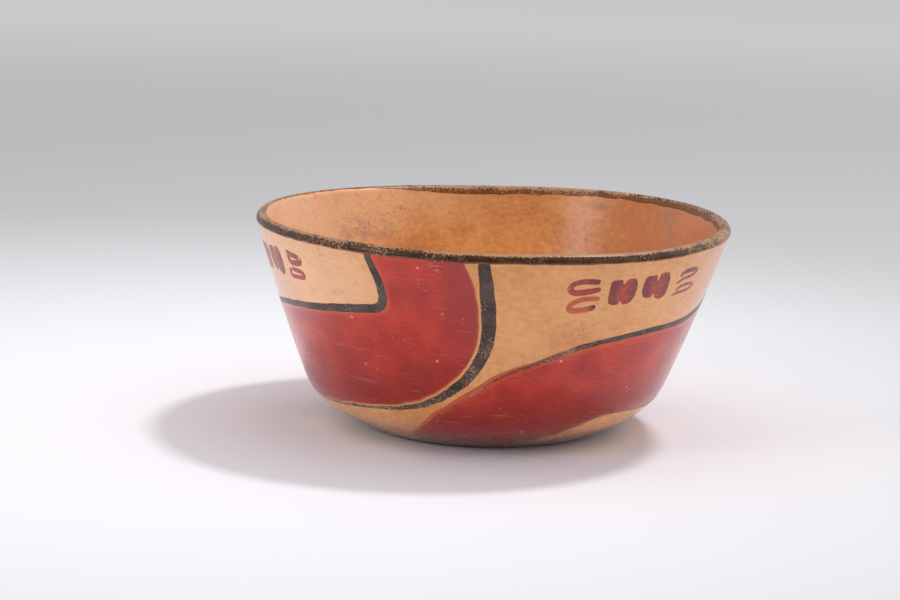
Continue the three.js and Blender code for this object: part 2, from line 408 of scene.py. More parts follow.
def operator(operation: str, reflected: bool = False) -> Callable[["Signal", "Signal | float"], "Signal"]:
    """Make an operator of Signal out of a Math node.

    Args:
        operation: The node's operation.
        reflected: Whether the other number comes first.

    Returns:
        The method.
    """

    def apply(signal: "Signal", other: "Signal | float") -> "Signal":
        """Add the node to the signal's node tree."""
        first, second = (other, signal) if reflected else (signal, other)
        return signal.graph.signal("ShaderNodeMath", {"operation": operation}, {0: first, 1: second})

    return apply


class Signal:
    """A number that varies over a surface, so that shader maths is written as an expression.

    The bar gives the larger of two masks.
    """

    __add__, __radd__ = operator("ADD"), operator("ADD", True)
    __sub__, __rsub__ = operator("SUBTRACT"), operator("SUBTRACT", True)
    __mul__, __rmul__ = operator("MULTIPLY"), operator("MULTIPLY", True)
    __or__ = operator("MAXIMUM")

    def __init__(self, graph: "Graph", socket: Link) -> None:
        """Wrap a node's output."""
        self.graph = graph
        self.socket = socket

    def step(self, low: float, high: float) -> "Signal":
        """Rise smoothly from 0 at low to 1 at high.

        Args:
            low: Where the rise starts.
            high: Where it ends; it may be less than low.

        Returns:
            The step.
        """
        if high < low:
            return 1 - self.step(high, low)
        inputs = {"Value": self, "From Min": low, "From Max": high}
        settings = {"interpolation_type": "SMOOTHSTEP"}
        return self.graph.signal("ShaderNodeMapRange", settings, inputs, "Result")


class Graph:
    """The node tree of a material or of the surround."""

    def __init__(self, owner: bpy.types.Material | bpy.types.World) -> None:
        """Empty the node tree.

        Args:
            owner: What the node tree belongs to.
        """
        owner.use_nodes = True
        self.owner = owner
        self.tree = owner.node_tree
        self.tree.nodes.clear()

    def node(self, kind: str, settings: dict, inputs: dict) -> bpy.types.Node:
        """Add a node.

        Args:
            kind: The node's type.
            settings: Its properties, which are set first.
            inputs: Values or links of its sockets, by name or number.

        Returns:
            The node.
        """
        node = self.tree.nodes.new(kind)
        for key, value in settings.items():
            setattr(node, key, value)
        for key, value in inputs.items():
            source = value.socket if isinstance(value, Signal) else value
            if isinstance(source, Link):
                self.tree.links.new(source, node.inputs[key])
            else:
                node.inputs[key].default_value = source
        return node

    def signal(self, kind: str, settings: dict, inputs: dict, output: str | int = 0) -> Signal:
        """Add a node and take a number from its output."""
        return Signal(self, self.node(kind, settings, inputs).outputs[output])

    def vector(self, operation: str, first: Link, second: Place, output: str = "Vector") -> Link:
        """Add a Vector Math node."""
        node = self.node("ShaderNodeVectorMath", {"operation": operation}, {0: first, 1: second})
        return node.outputs[output]

    def spot(self, frame: str = "Object") -> Link:
        """Coordinates of the point: in the object in metres, or of the direction looked in."""
        return self.node("ShaderNodeTexCoord", {}, {}).outputs[frame]

    def place(self, stretch: Place, shift: float) -> Link:
        """Object coordinates times the pattern units per metre, moved so that two patterns differ."""
        inputs = {"Vector": self.spot(), "Scale": stretch, "Location": (shift, shift, shift)}
        return self.node("ShaderNodeMapping", {}, inputs).outputs["Vector"]

    def noise(self, across: float, up: float, detail: float, shift: float = 0.0) -> Signal:
        """Soft noise from 0 to 1 about a mean of a half, by its units per metre across and up."""
        inputs = {"Vector": self.place((across, across, up), shift), "Scale": 1.0, "Detail": detail}
        return self.signal("ShaderNodeTexNoise", {}, inputs, "Fac")

    def mask(self, pattern: "Pattern", shift: float = 0.0) -> Signal:
        """Noise that is cut to a mask, moved on by a shift."""
        noise = self.noise(pattern.across, pattern.up, pattern.detail, pattern.shift + shift)
        return noise.step(pattern.low, pattern.high)

    def specks(self, per_metre: float, size: float, shift: float) -> Signal:
        """Small round specks, 1 inside and 0 outside, by cells per metre and a radius in cells."""
        inputs = {"Vector": self.place((per_metre,) * 3, shift), "Scale": 1.0}
        return self.signal("ShaderNodeTexVoronoi", {}, inputs, "Distance").step(size, size * 0.5)

    def near(self, centre: Place, reach: Place) -> Signal:
        """Soft spot, 1 at its centre and 0 outside its reach along X, Y and Z."""
        share = self.vector("DIVIDE", self.vector("SUBTRACT", self.spot(), centre), reach)
        return Signal(self, self.vector("LENGTH", share, (0.0, 0.0, 0.0), "Value")).step(1.0, 0.3)

    def attribute(self, name: str) -> Signal:
        """A number stored on the mesh."""
        return self.signal("ShaderNodeAttribute", {"attribute_name": name}, {}, "Fac")

    def axis(self, name: str, frame: str = "Object") -> Signal:
        """One of the coordinates X, Y and Z."""
        return self.signal("ShaderNodeSeparateXYZ", {}, {"Vector": self.spot(frame)}, name)

    def blend(self, share: Signal | float, first: Colour | Link, second: Colour | Link) -> Link:
        """Mix two colours by the share of the second."""
        node = self.node("ShaderNodeMix", {"data_type": "RGBA"}, {0: share, 6: first, 7: second})
        return node.outputs[2]

    def layered(self, colour: Link, *coats: tuple[Signal, Colour]) -> Link:
        """Lay colours over one another.

        Args:
            colour: The lowest colour.
            coats: Mask and colour of each coat, from the lowest up.

        Returns:
            The colour that shows.
        """
        for share, coat in coats:
            colour = self.blend(share, colour, coat)
        return colour


@dataclass(frozen=True)
class Pattern:
    """Noise for a mask: its units per metre, detail and shift, and its values where the mask is 0 and 1."""

    across: float
    up: float
    detail: float
    shift: float
    low: float
    high: float


@dataclass(frozen=True, kw_only=True)
class Slip:
    """What every coat of slip shares: burnishing strokes, fine grain, its gloss, and soil near the foot.

    Gloss is the specular level. Polish is the weight of the skin that burnishing left, which shines most
    at a glancing look.
    """

    roughness: float = 0.27
    gloss: float = 0.5
    polish: float = 0.0
    skin_ior: float = 1.3
    skin_roughness: float = 0.27
    relief: float = 0.004 * MM
    stroke_scale: tuple[float, float] = (150, 900)
    grain_scale: float = 900
    stroke_relief: float = 0.4
    grain_relief: float = 0.6
    stroke_roughness: float = 0.1
    mottle_span: tuple[float, float] = (0.24, 0.76)
    soil: Colour = linear(130, 104, 92)
    soil_span: tuple[float, float] = (11 * MM, 2 * MM)
    soil_wander: float = 14 * MM

    def strokes(self, graph: Graph, shift: float) -> Signal:
        """Level strokes of the burnishing stone."""
        return graph.noise(*self.stroke_scale, 2, shift)

    def shade(
        self, graph: Graph, colour: Link, strokes: Signal, rougher: Signal, worn: Signal | float = 0.0,
    ) -> bpy.types.Material:
        """Rub grey soil into the lowest part of the wall, and add the shader with its bump.

        Args:
            graph: The material's node tree.
            colour: The colour before it is soiled.
            strokes: The burnishing strokes.
            rougher: What is added to the roughness.
            worn: Where the coat has worn off, from 0 to 1.

        Returns:
            The material.
        """
        grain = graph.noise(self.grain_scale, self.grain_scale, 2, 1.0)
        relief = strokes * self.stroke_relief + grain * self.grain_relief - worn
        bump = graph.node("ShaderNodeBump", {}, {"Height": relief, "Distance": self.relief, "Strength": 1.0})
        height = graph.axis("Z") + (graph.noise(80, 80, 4, 5.0) - 0.5) * self.soil_wander
        soiled = height.step(*self.soil_span) * (1 - graph.attribute("inner"))
        inputs = {
            "Base Color": graph.blend(soiled * 0.8, colour, self.soil), "Normal": bump.outputs["Normal"],
            "Roughness": self.roughness + self.stroke_roughness * (strokes - 0.5) + rougher,
            "Specular IOR Level": self.gloss, "Coat Weight": self.polish, "Coat IOR": self.skin_ior,
            "Coat Roughness": self.skin_roughness,
        }
        shader = graph.node("ShaderNodeBsdfPrincipled", {}, inputs)
        graph.node("ShaderNodeOutputMaterial", {}, {"Surface": shader.outputs["BSDF"]})
        return graph.owner


@dataclass(frozen=True, kw_only=True)
class GroundSlip(Slip):
    """Tan ground slip outside, deeper ochre inside, marks of use and time, and painted light and shade.

    The drip is a row of soft spots, whose places are told in millimetres.
    """

    gloss: float = 0.3
    polish: float = 0.9
    tan: Colour = linear(220, 144, 84)
    pale: Colour = linear(239, 174, 114)
    deep: Colour = linear(198, 119, 46)
    ochre: Colour = linear(228, 160, 88)
    # Paler upper left inner wall: partly paler slip, partly painted light from the key lamp.
    upper: Colour = linear(226, 174, 130)
    # Rusty dabs on the slip, and painted shade on the right of the inner wall.
    rust_and_shade: Colour = linear(190, 108, 60)
    stain: Colour = linear(104, 74, 54)
    haze: Colour = linear(172, 134, 114)
    ash: Colour = linear(146, 124, 98)
    # Painted light: a pale spot on the inner wall at the back left, where the lamps shine.
    painted_light_place: Place = (-88 * MM, 40 * MM, 84 * MM)
    painted_light_size: Place = (60 * MM, 60 * MM, 40 * MM)
    # Pale patch on the left front of the outside: partly paler slip, partly a painted sheen.
    pale_and_sheen: Colour = linear(250, 200, 158)
    pale_and_sheen_place: Place = (-82 * MM, -78 * MM, 80 * MM)
    pale_and_sheen_size: Place = (60 * MM, 60 * MM, 34 * MM)
    dabs: Pattern = Pattern(200, 260, 2, 8.0, 0.56, 0.7)
    crowd: Pattern = Pattern(40, 40, 1, 9.0, 0.42, 0.7)
    freckles: Pattern = Pattern(700, 760, 2, 15.0, 0.6, 0.7)
    soot_place: Place = (-63 * MM, 78 * MM, 81 * MM)
    soot_size: Place = (31 * MM, 22 * MM, 10 * MM)
    soot_patches: Pattern = Pattern(170, 210, 3, 18.0, 0.36, 0.6)
    soot_grit: Pattern = Pattern(1100, 1100, 4, 6.0, 0.5, 0.62)
    drip_places: tuple[Place, ...] = (
        (92.8, 57.5, 96.5), (92.2, 54, 92.5), (91.5, 52, 88.5), (90.5, 51, 84), (86, 62, 96.5), (89, 58, 93),
        (92, 53.5, 90.5), (91, 51.5, 86.3),
    )
    drip_size: Place = (3.6 * MM, 3.2 * MM, 4.4 * MM)
    drip_patches: Pattern = Pattern(420, 300, 3, 4.0, 0.36, 0.6)
    pit_place: Place = (50.8 * MM, 88.4 * MM, 77.6 * MM)
    pit_size: float = 1.3 * MM
    smudge_place: Place = (57 * MM, 92 * MM, 95 * MM)
    smudge_size: Place = (11 * MM, 7 * MM, 3 * MM)
    crack_turn: float = math.radians(-43)
    crack_ends: tuple[float, float] = (84 * MM, 96 * MM)
    crack_wander: float = 3 * MM
    crack_span: tuple[float, float] = (0.5 * MM, 0.1 * MM)
    crack_gaps: Pattern = Pattern(420, 420, 2, 22.0, 0.45, 0.6)

    def clean(self, graph: Graph, inner: Signal, strokes: Signal) -> Link:
        """Colour of the ground slip with its clouds and burnishing strokes, and painted light and shade.

        Args:
            graph: The material's node tree.
            inner: 0 outside and 1 inside.
            strokes: The burnishing strokes.

        Returns:
            The colour.
        """
        clouds, mottle = graph.noise(24, 24, 4), graph.noise(300, 380, 3, 12.0)
        share = (clouds + (strokes - 0.5) * 0.22 + (mottle - 0.5) * 0.6).step(*self.mottle_span)
        # Paler patch on the outside's left front, partly a painted sheen.
        pale_and_sheen = graph.near(self.pale_and_sheen_place, self.pale_and_sheen_size) * 0.6
        outside = graph.layered(graph.blend(share, self.tan, self.pale), (pale_and_sheen, self.pale_and_sheen))
        height = graph.axis("Z") + (clouds - 0.5) * 0.05
        # Painted light on the upper left of the inner wall, which faces the key lamp; partly paler slip too.
        left, right = graph.axis("X").step(0.05, -0.03), graph.axis("X").step(0.05, 0.1)
        pale_and_lit = height.step(0.07, 0.1) * left * 0.62 | graph.near(self.painted_light_place, self.painted_light_size) * 0.8
        # The right of the inner wall is darkened with a rust-coloured painted shade.
        inside = graph.layered(
            graph.blend(share, self.deep, self.ochre), (pale_and_lit, self.upper), (right * 0.7, self.rust_and_shade),
        )
        return graph.blend(inner, outside, inside)

    def crack(self, graph: Graph) -> Signal:
        """Mask of the hairline crack: where the distance from the upright plane at its turn is near 0.

        Args:
            graph: The material's node tree.

        Returns:
            The mask.
        """
        aside = graph.axis("X") * math.cos(self.crack_turn) + graph.axis("Y") * math.sin(self.crack_turn)
        aside = aside + (graph.noise(180, 180, 2, 21.0) - 0.5) * self.crack_wander
        low, high = self.crack_ends
        height = graph.axis("Z")
        span = height.step(low - MM, low + MM) * height.step(high + MM, high - MM)
        line = (aside | aside * -1.0).step(*self.crack_span) * graph.axis("Y").step(0.0, -0.05)
        return line * span * graph.mask(self.crack_gaps)

    def spotted(self, graph: Graph, colour: Link, inner: Signal) -> Link:
        """Add what use and time left: dots, rusty dabs, soot and a drip inside, and a hairline crack.

        Args:
            graph: The material's node tree.
            colour: The clean colour.
            inner: 0 outside and 1 inside.

        Returns:
            The spotted colour.
        """
        crowd = graph.mask(self.crowd)
        dots = graph.specks(300, 0.22, 2.0) * crowd | graph.mask(self.freckles) * (crowd * 0.4 + inner * 0.4)
        soot = graph.near(self.soot_place, self.soot_size) * graph.mask(self.soot_patches) * inner
        first, *others = (
            graph.near(tuple(length * MM for length in place), self.drip_size) for place in self.drip_places
        )
        drip = functools.reduce(Signal.__or__, others, first)
        drip = drip * (0.55 + graph.mask(self.drip_patches) * 0.45) * inner
        smudge = graph.near(self.smudge_place, self.smudge_size) * inner
        marks = graph.near(self.pit_place, (self.pit_size,) * 3) | self.crack(graph) * 0.7
        return graph.layered(
            colour, (graph.mask(self.dabs) * 0.2, self.rust_and_shade), (dots * 0.5, self.stain),
            (soot * 0.5, self.haze), (soot * graph.mask(self.soot_grit) * 0.55, self.stain),
            (drip * 0.62, self.ash), (smudge * 0.35, self.stain), (marks * 0.8, self.stain),
        )

    def material(self, name: str) -> bpy.types.Material:
        """Build the material of the clay body.

        Args:
            name: The material's name.

        Returns:
            The material.
        """
        graph = Graph(bpy.data.materials.new(name))
        inner, strokes = graph.attribute("inner"), self.strokes(graph, 3.0)
        colour = self.spotted(graph, self.clean(graph, inner, strokes), inner)
        return self.shade(graph, colour, strokes, inner * 0.05)


@dataclass(frozen=True, kw_only=True)
class PaintSlip(Slip):
    """A coloured slip over the ground slip: thin and warm at its edge, mottled, and worn with use.

    Flecks is how readily it has worn off in fine flecks, from 0 to 1.
    """

    dark: Colour
    light: Colour
    edge: Colour
    pooled: Colour
    worn_to: Colour
    halo: float
    flecks: float
    fleck_size: float = 1.0 * MM
    cloud_size: float = 16 * MM
    worn_span: tuple[float, float] = (0.66, 0.82)
    scratches: Pattern = Pattern(45, 1500, 1, 8.0, 0.7, 0.78)
    chip: Colour = linear(236, 200, 178)

    def tinted(self, graph: Graph, colour: Link) -> Link:
        """Change of colour over the coat as a whole: none on a plain slip."""
        return colour

    def pooling(self, graph: Graph) -> Signal:
        """Where the slip takes its pooled colour."""
        return graph.attribute("pool")

    def material(self, name: str, shift: float = 0.0) -> bpy.types.Material:
        """Build the coat's material.

        Args:
            name: The material's name.
            shift: Move of its patterns, so that two coats differ.

        Returns:
            The material.
        """
        graph = Graph(bpy.data.materials.new(name))
        clouds = graph.noise(1 / self.cloud_size, 1 / self.cloud_size, 3, shift)
        strokes = self.strokes(graph, shift + 2)
        fine = graph.noise(1 / self.fleck_size, 1 / self.fleck_size, 5, shift + 4)
        broad = graph.noise(80, 80, 2, shift + 6)
        share = (clouds + (strokes - 0.5) * 0.24 + (fine - 0.5) * 0.5).step(*self.mottle_span)
        distance = graph.attribute("edge") + (broad - 0.5) * self.halo
        wear = (self.flecks + graph.attribute("wear")) * 0.3
        worn = (fine + (broad - 0.5) * 0.5 + wear).step(*self.worn_span)
        chips = graph.specks(110, 0.1, shift) * broad.step(0.42, 0.56)
        colour = graph.layered(
            self.tinted(graph, graph.blend(share, self.dark, self.light)),
            (distance.step(self.halo, 0.0), self.edge), (self.pooling(graph), self.pooled),
            (worn * 0.75, self.worn_to), (chips * 0.7 | graph.mask(self.scratches, shift) * 0.25, self.chip),
        )
        return self.shade(graph, colour, strokes, worn * 0.15, worn)


@dataclass(frozen=True, kw_only=True)
class RedSlip(PaintSlip):
    """The red of the figures: brighter under the step line, purple high up by the curl line, darker low
    down.

    Its pooled colour is that of the border strip along the figure's tail.
    """

    gloss: float = 0.3
    polish: float = 0.9
    warm: Colour = linear(230, 104, 58)
    warm_reach: float = 7 * MM
    cool: Colour = linear(160, 50, 54)
    deep: Colour = linear(140, 17, 7)
    scrape_place: Place = (-21 * MM, -112.4 * MM, 93.5 * MM)
    scrape_size: Place = (6 * MM, 5 * MM, 4 * MM)
    scrape: Pattern = Pattern(260, 1500, 2, 2.0, 0.58, 0.66)
    border_span: tuple[float, float] = (2.2 * MM, 1.7 * MM)

    def tinted(self, graph: Graph, colour: Link) -> Link:
        """Warm the colour towards the step line, cool it towards the curl line, darken it low down and
        scrape one spot.

        Args:
            graph: The material's node tree.
            colour: The even colour.

        Returns:
            The colour with its changes.
        """
        height, across = graph.axis("Z"), graph.attribute("across")
        warm = graph.attribute("inward").step(self.warm_reach, 0.0)
        purple = across.step(0.5, 0.0) * height.step(0.03, 0.07)
        # Darker towards the foot, most on the figure's keel side.
        low = height.step(0.06, 0.026) * across.step(0.65, 0.15) | height.step(0.038, 0.016)
        scrape = graph.near(self.scrape_place, self.scrape_size) * graph.mask(self.scrape)
        return graph.layered(
            colour, (warm * 0.75, self.warm), (purple * 0.6, self.cool), (low * 0.72, self.deep),
            (scrape * 0.6, self.chip),
        )

    def pooling(self, graph: Graph) -> Signal:
        """Where the border strip lies."""
        return graph.attribute("pool") * graph.attribute("inward").step(*self.border_span)


RED = RedSlip(
    dark=linear(169, 34, 22), light=linear(205, 58, 36), edge=linear(206, 98, 52),
    pooled=linear(198, 92, 46), worn_to=linear(204, 124, 84), halo=1.4 * MM, flecks=0.0,
)
DARK = PaintSlip(
    dark=linear(58, 44, 40), light=linear(98, 80, 74), edge=linear(104, 72, 54),
    pooled=linear(144, 56, 40), worn_to=linear(190, 154, 124), halo=0.4 * MM, flecks=0.12,
    fleck_size=0.75 * MM, cloud_size=9 * MM, gloss=0.3,
)
RIM = PaintSlip(
    dark=linear(52, 28, 10), light=linear(92, 60, 36), edge=linear(140, 98, 76),
    pooled=linear(122, 76, 42), worn_to=linear(192, 144, 110), halo=1.2 * MM, flecks=0.1,
    cloud_size=7 * MM, roughness=0.24, gloss=0.22,
)


class MarkTint(Enum):
    """How thickly the purple-red slip of a brush mark was laid."""

    PURPLE = (linear(156, 50, 46), linear(196, 80, 60))
    ORANGE = (linear(190, 82, 44), linear(208, 104, 62))
    DULL = (linear(156, 66, 54), linear(182, 92, 74))

    def slip(self) -> PaintSlip:
        """The slip of this tint."""
        return PaintSlip(
            dark=self.value[0], light=self.value[1], edge=linear(190, 96, 70), pooled=linear(104, 44, 48),
            worn_to=linear(206, 134, 98), halo=0.35 * MM, flecks=0.15, cloud_size=5 * MM,
        )


@dataclass
class FiredClay:
    """The bowl's fired body: slab and coils smeared into one wall, with the ground slip over it."""

    outline: Outline
    finish: GroundSlip = GroundSlip()
    turns: int = 400
    ring_step: float = 2.0 * MM
    lip_step: float = 0.55 * MM
    lip_margin: float = 6 * MM
    nodes: tuple[str, ...] = ("base_slab", "heel_coil", "lower_wall_coil", "upper_wall_coil", "rim_coil")

    def _rings(self) -> Array:
        """Slopes of the rings of vertices, closer together on the lip."""
        line = self.outline
        ends = (0.0, line.wall_end - self.lip_margin, line.lip_end + self.lip_margin, line.end)
        steps = (self.ring_step, self.lip_step, self.ring_step)
        spans = zip(ends, ends[1:], steps)
        return np.concatenate([
            np.linspace(low, high, math.ceil((high - low) / step), endpoint=False)
            for low, high, step in spans
        ])[1:]

    def build(self) -> None:
        """Carry the outline round the axis, with a single vertex at each pole."""
        slopes = self._rings()
        rows, turns, end = len(slopes), self.turns, self.outline.end
        turn = np.linspace(0, 2 * math.pi, turns, endpoint=False)
        grid = self.outline.place(turn[None, :], slopes[:, None])
        poles = self.outline.place(np.zeros(2), np.array([0.0, end]))
        faces, corners = band_faces(rows, turns, False)
        share = slopes / end
        uv = np.stack([corners[..., 1] / turns, share[corners[..., 0]]], -1)
        around = np.arange(turns)
        after, none = (around + 1) % turns, np.full(turns, -1)
        foot, top = rows * turns, (rows - 1) * turns
        foot_fan = np.stack([np.full(turns, foot), after, around, none], 1)
        floor_fan = np.stack([np.full(turns, foot + 1), top + around, top + after, none], 1)
        left, right = around / turns, (around + 1) / turns
        across = np.stack([(left + right) / 2, right, left, left], 1)
        flipped = np.stack([(left + right) / 2, left, right, left], 1)
        low = np.broadcast_to([0, share[0], share[0], 0], across.shape)
        high = np.broadcast_to([1, share[-1], share[-1], 1], across.shape)
        fans = [np.stack([across, low], -1), np.stack([flipped, high], -1)]
        all_slopes = np.concatenate([np.repeat(slopes, turns), [0.0, end]])
        inner = rise(all_slopes, self.outline.lip_middle, self.outline.lip_end)
        skin = Skin(
            np.vstack([grid.reshape(-1, 3), poles]), np.vstack([faces, foot_fan, floor_fan]),
            np.concatenate([uv, *fans]), {"inner": inner},
        )
        skin.make("fired_clay", self.finish.material("ground_slip"), "clay", self.nodes)


@dataclass
class Ribbon:
    """Strip of the wall between two drawn edges, with one pair of places for each row.

    Wear and pool say how worn each row is and how thick its slip dried, from 0 to 1.
    """

    low: Array
    high: Array
    wear: Array
    pool: Array
    closed: bool = False
    end_counts: bool = True


@dataclass(frozen=True)
class Coat:
    """A thin coat of slip: how it stands on the clay and how finely it is divided."""

    lift: float
    middle: int = 4
    near: tuple[float, ...] = (0, 0.12 * MM, 0.3 * MM, 0.65 * MM, 1.2 * MM, 2.2 * MM, 4.0 * MM)
    sunk: float = 0.06 * MM
    slant: float = 0.35 * MM
    root: float = 0.35 * MM
    folds: int = 1

    def skin(self, outline: Outline, ribbon: Ribbon) -> Skin:
        """Lay an upper skin over the ribbon and join it to a lower one inside the clay.

        The upper skin stands at -sunk on the ribbon's edge and rises to the lift over the slant.

        Args:
            outline: The wall.
            ribbon: The strip that the coat covers.

        Returns:
            The closed mesh.
        """
        step = ribbon.high - ribbon.low
        middle_radius = outline.radius((ribbon.low[:, 1] + ribbon.high[:, 1]) / 2)
        width = np.hypot(step[:, 0] * middle_radius, step[:, 1])[:, None]
        near = np.array(self.near) * np.minimum(1, width / (3 * self.near[-1]))
        inner = np.linspace(0, 1, self.middle + 2)[1:-1]
        between = near[:, -1:] + inner * (width - 2 * near[:, -1:])
        distance = np.hstack([near, between, width - near[:, ::-1]])
        place = ribbon.low[:, None] + step[:, None] * (distance / width)[..., None]
        turn, slope = place[..., 0], place[..., 1]
        edge = np.minimum(distance, width - distance)
        if not ribbon.closed:
            edge = self._edge_distance(outline, place, ribbon.end_counts)
        lift = -self.sunk + (self.lift + self.sunk) * rise(edge, 0, self.slant)
        upper = outline.place(turn, slope, lift)
        lower = outline.place(turn, slope, -self.root)[:, ::-1]
        rows, columns = turn.shape
        faces, corners = band_faces(rows, 2 * columns, ribbon.closed)
        uv = self._map(corners, rows if ribbon.closed else rows - 1, columns)
        if not ribbon.closed:
            caps = np.vstack([self._cap(0, columns), self._cap((rows - 1) * 2 * columns, columns)[:, ::-1]])
            faces = np.vstack([faces, caps])
            uv = np.concatenate([uv, np.full((*caps.shape, 2), 0.998)])
        measures = {"edge": edge, "inward": width - distance, "across": distance / width}
        values = {key: np.hstack([measure, measure[:, ::-1]]) for key, measure in measures.items()}
        for key, rates in (("wear", ribbon.wear), ("pool", ribbon.pool)):
            values[key] = np.repeat(rates[:, None], 2 * columns, 1)
        return Skin(np.hstack([upper, lower]).reshape(-1, 3), faces, uv, values)

    @staticmethod
    def _cap(first: int, columns: int) -> Array:
        """Join the upper and the lower skin at one end.

        Args:
            first: Number of the end's first vertex.
            columns: Number of vertices across the upper skin.

        Returns:
            The vertex numbers of each face.
        """
        across = np.arange(columns - 1)
        mirror = 2 * columns - 1 - across
        return first + np.stack([across + 1, across, mirror, mirror - 1], 1)

    def _map(self, corners: Array, rows: int, columns: int) -> Array:
        """Lay the upper skin on the map in as many strips as it has folds, each above its lower skin.

        Args:
            corners: Row and column of every face corner.
            rows: Number of rows of faces.
            columns: Number of vertices across the upper skin.

        Returns:
            Map places of the corners.
        """
        length = math.ceil(rows / self.folds)
        strip = corners[:, :1, 0] // length
        along = (corners[..., 0] - strip * length) / length * 0.99
        column = corners[..., 1]
        upper = column / (columns - 1) * 0.92
        lower = 0.935 + (column - columns) / columns * 0.045
        across = np.where(column < columns, upper, lower)
        return np.stack([along, (strip + across) / self.folds], -1)

    @staticmethod
    def _edge_distance(outline: Outline, place: Array, end_counts: bool) -> Array:
        """Measure on the wall how far each place of a ribbon is from the ribbon's edge.

        Args:
            outline: The wall.
            place: Turn and slope of the places, in rows and columns.
            end_counts: Whether the last row is an edge too.

        Returns:
            The distances.
        """
        sides = [place[:, 0], place[:, -1], place[0]] + ([place[-1]] if end_counts else [])
        rim = np.vstack(sides)
        radius = outline.radius(place[..., 1])
        best = np.full(radius.shape, np.inf)
        chunk = 64
        for start in range(0, len(rim), chunk):
            gap = place[:, :, None] - rim[start:start + chunk]
            best = np.minimum(best, np.hypot(gap[..., 0] * radius[..., None], gap[..., 1]).min(-1))
        return best


def wander(shares: Array, size: float, seed: int, waves: tuple[int, int] = (5, 36)) -> Array:
    """Unsteadiness of a hand-drawn edge: a sum of sine waves that come back to their start.

    Args:
        shares: How far along the edge, from 0 to 1.
        size: Rough size of the wander.
        seed: Which unsteadiness it is.
        waves: Fewest and most waves along the edge.

    Returns:
        The wander at each share.
    """
    random = np.random.default_rng(seed)
    count = random.integers(*waves, 12)
    phase = random.uniform(0, 2 * math.pi, 12)
    weight = size / np.sqrt(count / waves[0]) / 3
    return (weight * np.sin(2 * math.pi * count * shares[:, None] + phase)).sum(1)


@dataclass
class RimBand:
    """Dark band of slip over the lip, unsteady on both sides and worn through on the lip's crown.

    Reach over the lip and wear are listed as (turn in degrees, value), the reach in millimetres.
    """

    outline: Outline
    outer_height: float = 97.5
    drop: float = 0.5 * MM
    reach: Places = (
        (0, 5.0), (60, 6.0), (90, 6.4), (115, 6.1), (130, 5.9), (145, 5.8), (165, 6.3), (180, 7.2),
        (192, 6.8), (203, 4.6), (214, 2.7), (262, 2.6), (285, 3.4), (310, 4.8), (360, 5.0),
    )
    crown_wear: Places = (
        (0, 1.2), (25, 1.3), (55, 0.8), (80, 0.8), (105, 0.6), (125, 0.5), (140, 0.9), (155, 1.2),
        (180, 0.9), (200, 0.9), (240, 0.8), (270, 1.2), (300, 0.9), (320, 0.8), (340, 0.7), (352, 1.0),
        (360, 1.2),
    )
    inner_wear: Places = (
        (0, 0.0), (110, 0.0), (140, 0.2), (160, 0.7), (172, 0.3), (190, 0.3), (204, 0.7), (262, 0.7),
        (285, 0.5), (300, 0.2), (360, 0.0),
    )
    outer_wear: Places = (
        (0, 0.1), (45, 0.1), (58, 0.4), (72, 0.8), (95, 0.7), (120, 0.3), (240, 0.3), (290, 0.1),
        (306, 0.1), (316, 0.5), (328, 0.5), (340, 0.2), (360, 0.1),
    )
    outer_wander: float = 0.45 * MM
    outer_waves: tuple[int, int] = (3, 90)
    inner_wander: float = 0.6 * MM
    inner_waves: tuple[int, int] = (5, 160)
    strip: float = 2.2 * MM
    crown_span: tuple[float, float] = (0.3 * MM, 1.9 * MM)
    lift: float = 0.17 * MM
    near: tuple[float, ...] = (0, 0.12 * MM, 0.3 * MM, 0.65 * MM, 1.1 * MM, 1.6 * MM, 2.2 * MM, 2.8 * MM)
    rows: int = 720

    def build(self) -> None:
        """Build the band as a ring."""
        share = np.arange(self.rows) / self.rows
        turn = share * 2 * math.pi
        reach, crown_wear, inner_wear, outer_wear = (
            settled(listed(places, share * 360), 12)
            for places in (self.reach, self.crown_wear, self.inner_wear, self.outer_wear)
        )
        outer = self.outline.spots(((0, self.outer_height),))[0, 1] - self.drop * (1 + np.cos(turn)) / 2
        low = outer + wander(share, self.outer_wander, 11, self.outer_waves)
        reach = reach * MM + wander(share, self.inner_wander, 12, self.inner_waves)
        high = self.outline.lip_middle + reach
        none = np.zeros(self.rows)
        ribbon = Ribbon(np.stack([turn, low], 1), np.stack([turn, high], 1), none, none, closed=True)
        skin = Coat(lift=self.lift, middle=20, near=self.near, folds=6).skin(self.outline, ribbon)
        inward = skin.values["inward"]
        inner = rise(inward, 1.4 * self.strip, 0.8 * self.strip)
        outside = rise(inward - reach[:, None], *self.crown_span)
        crown = (1 - inner) * (1 - outside)
        skin.values["wear"] = (
            inner * inner_wear[:, None] + crown * crown_wear[:, None] + outside * outer_wear[:, None]
        )
        skin.values["pool"] = inner * (1 - 0.7 * np.clip(np.cos(turn), 0, 1))[:, None]
        skin.make("rim_band", RIM.material("rim_slip"), "rim_slip", ("rim_band",))


